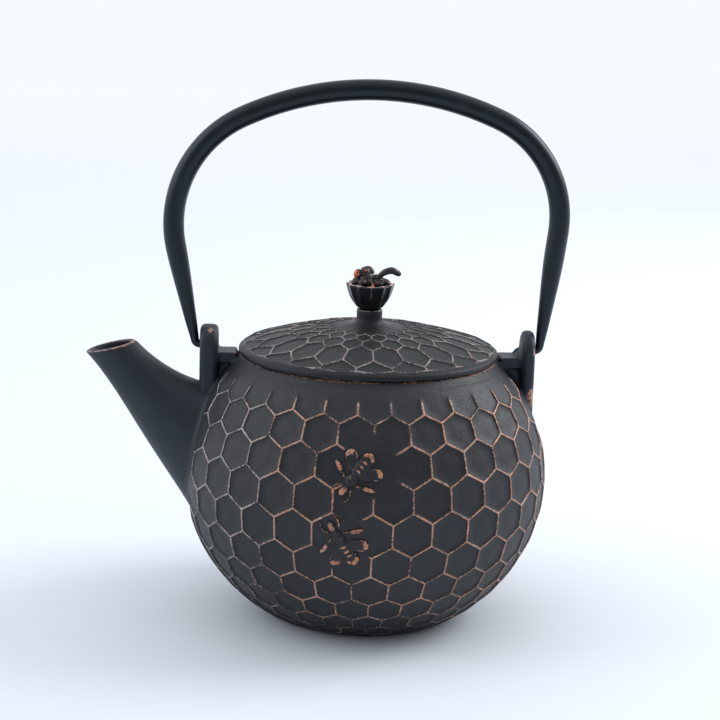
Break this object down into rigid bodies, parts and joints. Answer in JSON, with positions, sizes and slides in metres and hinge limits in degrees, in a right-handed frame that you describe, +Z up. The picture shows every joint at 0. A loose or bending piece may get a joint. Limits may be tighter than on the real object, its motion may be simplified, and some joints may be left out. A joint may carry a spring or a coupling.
{
  "type": "teapot",
  "caption": "Round cast iron teapot with a honeycomb belly, short raised spout, drop-on lid with a bee knob, swinging steel handle and a lift-out strainer.",
  "frame": {"origin": "centre of the pot's flat foot, on the table", "axes": "+Z up, the spout points along -X, and the handle swings about a line along X; the bees are on the -Y side"},
  "size_m": [0.2061, 0.156, 0.232],
  "materials": {
    "pot_iron": "matt charcoal lacquer, rubbed to copper on the raised lines",
    "lid_iron": "matt charcoal lacquer with pale worn lines",
    "knob_black": "semi-gloss black lacquer",
    "knob_bee": "semi-gloss black lacquer, rubbed to copper on the high spots",
    "handle_black": "satin black paint",
    "strainer_steel": "bright pressed stainless steel",
    "strainer_mesh": "fine woven stainless steel",
    "fastener_steel": "zinc plated",
    "enamel_lining": "fired black enamel on the pot's inside"
  },
  "bodies": {
    "pot": {"pot_floor": "pot_iron", "pot_lower_wall": "pot_iron", "pot_belly_wall": "pot_iron", "pot_upper_wall": "pot_iron", "pot_seat_ring": "pot_iron", "pot_lip": "pot_iron", "spout": "pot_iron", "ear_spout_side": "pot_iron", "ear_back": "pot_iron"},
    "handle": {"handle_bow": "handle_black", "handle_leg_spout_side": "handle_black", "handle_leg_back": "handle_black"},
    "infuser": {"infuser_rim": "strainer_steel", "infuser_wall": "strainer_mesh", "infuser_foot_band": "strainer_steel", "infuser_floor": "strainer_mesh"},
    "lid": {"lid": "lid_iron", "lid_rim": "lid_iron", "lid_skirt": "lid_iron", "knob_cup": "knob_black", "knob_bee": "knob_bee", "knob_screw": "fastener_steel", "knob_washer": "fastener_steel"}
  },
  "joints": [
    {"name": "handle_swing", "type": "hinge", "parent": "pot", "child": "handle", "pos_m": [0, 0, 0.1173], "axis": [1, 0, 0], "range_deg": [-130, 130]},
    {"name": "infuser_lift", "type": "slide", "parent": "pot", "child": "infuser", "axis": [0, 0, 1], "range_m": [0, 0.06]},
    {"name": "lid_lift", "type": "slide", "parent": "infuser", "child": "lid", "axis": [0, 0, 1], "range_m": [0, 0.06]}
  ]
}
